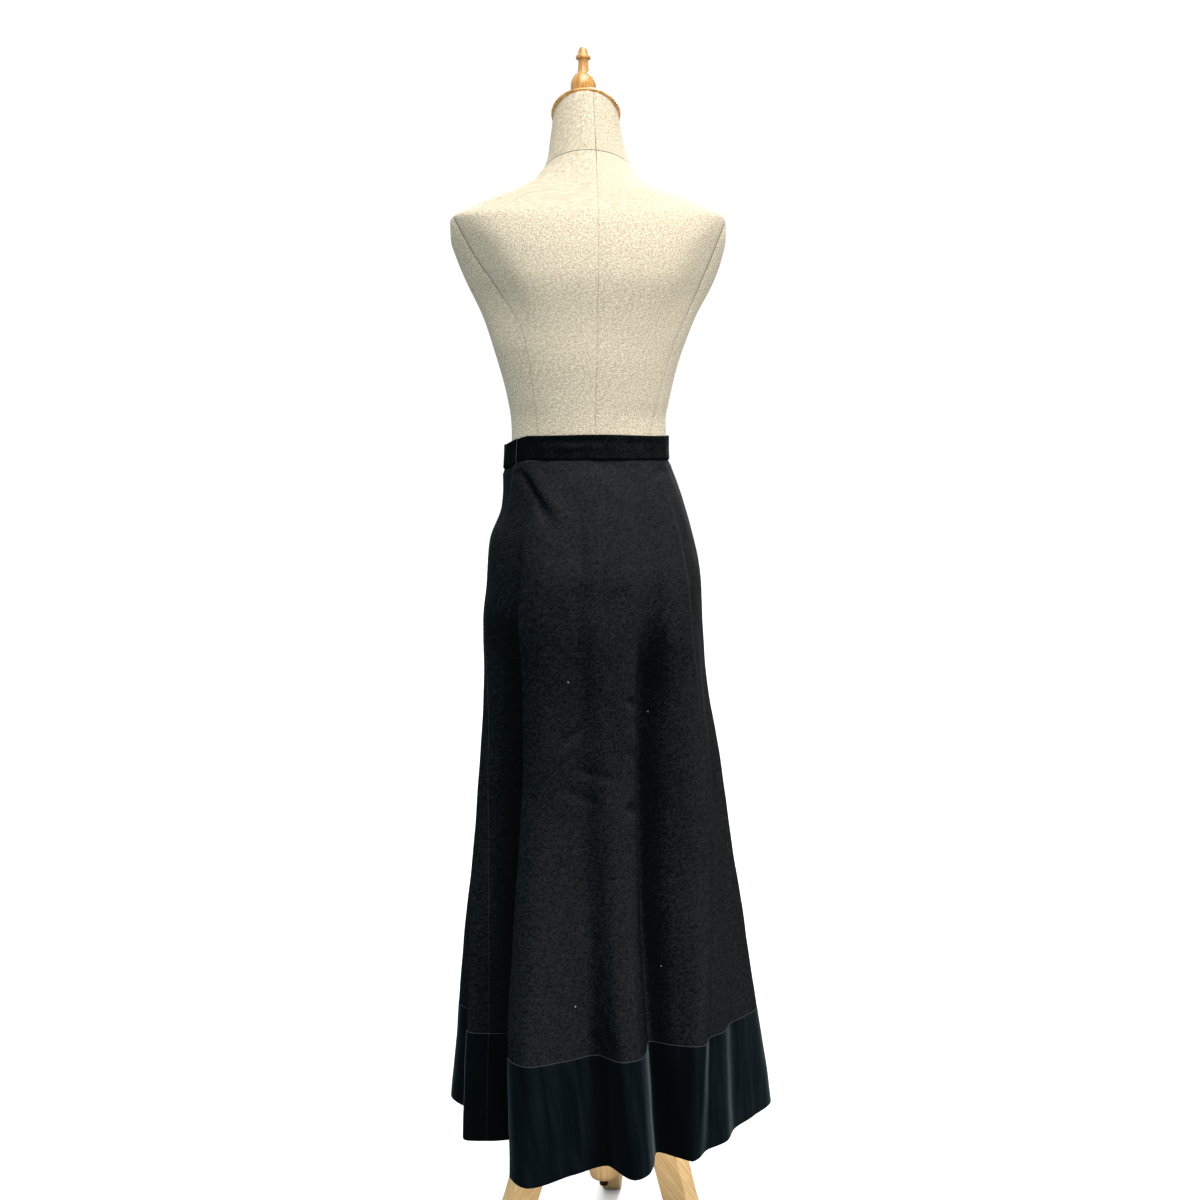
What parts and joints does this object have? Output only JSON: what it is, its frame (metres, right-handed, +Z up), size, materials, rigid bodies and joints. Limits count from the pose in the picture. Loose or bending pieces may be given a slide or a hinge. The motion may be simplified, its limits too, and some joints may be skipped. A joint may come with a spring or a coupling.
{
  "type": "flared maxi skirt on a dress form",
  "caption": "Long flared skirt with a velvet hem band and a lapped waistband, hanging in soft folds on a limbless linen dress form with a turned wooden stand.",
  "frame": {"origin": "on the floor under the stand's column, the centre of the whole object's footprint", "axes": "+Z up; the skirt's back faces -Y, the wearer's left side is towards -X"},
  "size_m": [0.5075, 0.5471, 1.796],
  "materials": {
    "cloth": "black twilled wool-blend cloth, matt with a dry grain",
    "velvet": "black cotton velvet with a soft pale sheen along the folds",
    "linen": "unbleached slubbed linen stretched over the form",
    "honey_wood": "honey-coloured turned wood, varnished",
    "oak": "light brown wood with straight grain, satin",
    "dark_steel": "dark brown metal"
  },
  "bodies": {
    "root": {"front": "cloth", "back_left": "cloth", "back_right": "cloth", "waistband": "cloth", "velvet_band_front": "velvet", "velvet_band_back": "velvet", "torso": "linen", "neck_cap": "honey_wood", "finial": "honey_wood", "column": "oak", "leg_left": "oak", "leg_right": "oak", "leg_rear": "oak", "column_bolt": "dark_steel"}
  },
  "joints": []
}
